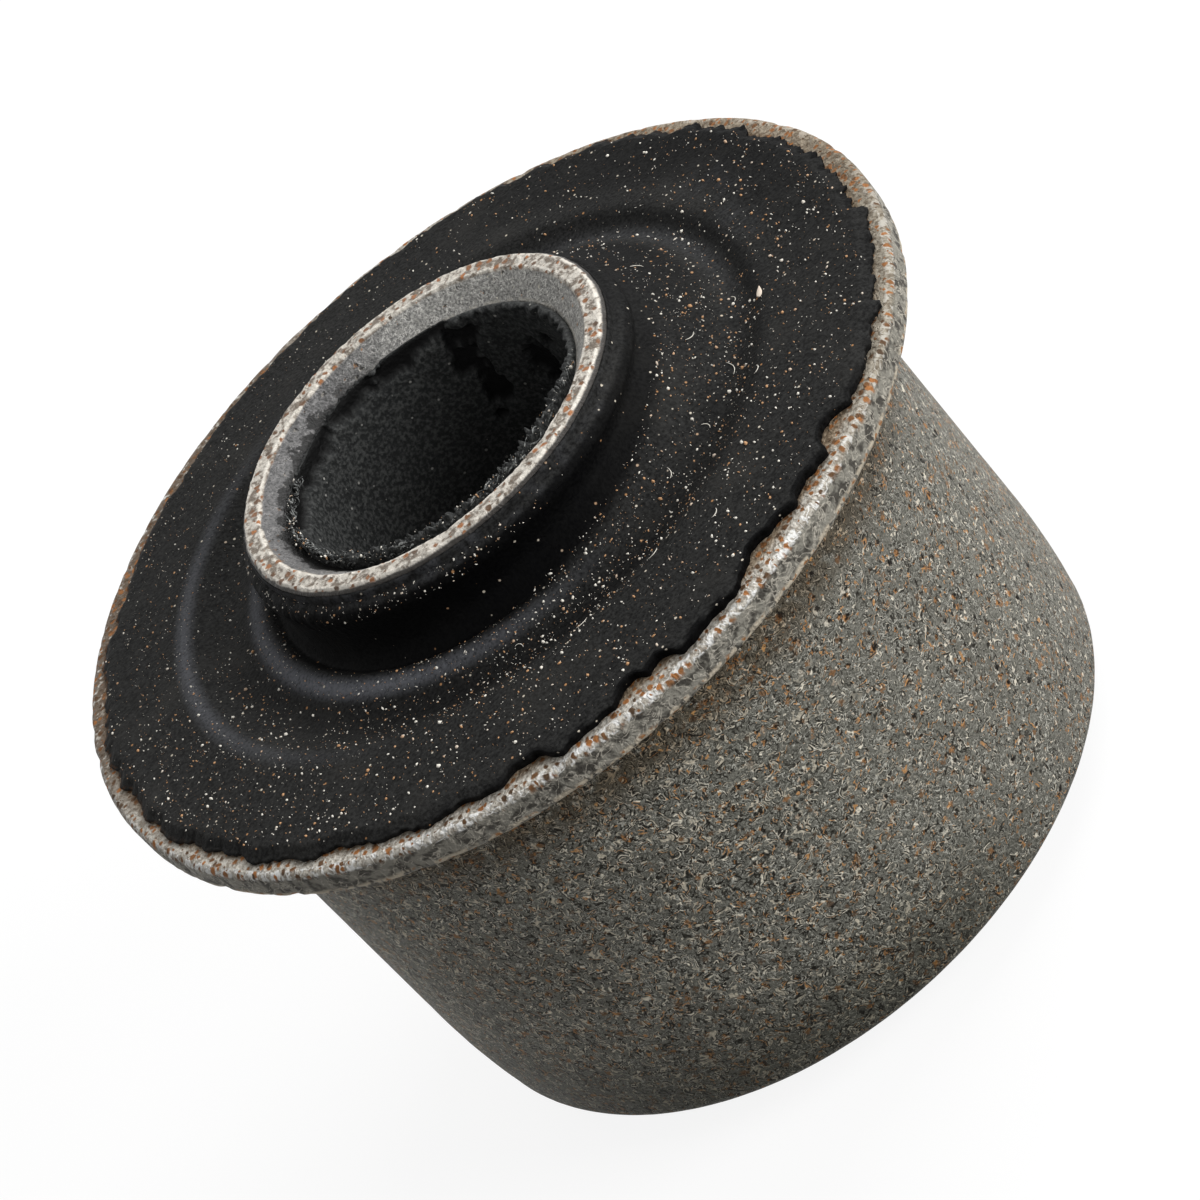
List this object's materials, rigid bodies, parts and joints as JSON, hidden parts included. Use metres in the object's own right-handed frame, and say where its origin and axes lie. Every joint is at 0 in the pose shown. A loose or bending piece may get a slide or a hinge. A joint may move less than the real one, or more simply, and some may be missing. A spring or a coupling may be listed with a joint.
{
  "type": "flanged rubber bush",
  "caption": "Worn flanged bush for a pedal pivot: steel shell pressed into the pedal, bonded rubber with a torn skin, and a steel inner sleeve with a lined bore.",
  "frame": {"origin": "on the axis, in the plane of the flange's seating face", "axes": "+Z along the axis, from the press-fitted body towards the flange's rubber face"},
  "size_m": [0.0544, 0.0544, 0.0382],
  "materials": {
    "shell_steel": "blasted and worn, with pits and rust specks",
    "rubber": "satin, dusty",
    "sleeve_steel": "worn bright rim with rust spots",
    "lining": "matt, torn at its lip"
  },
  "bodies": {
    "root": {"outer_shell": "shell_steel", "rubber_body": "rubber", "inner_sleeve": "sleeve_steel", "bore_lining": "lining"}
  },
  "joints": []
}
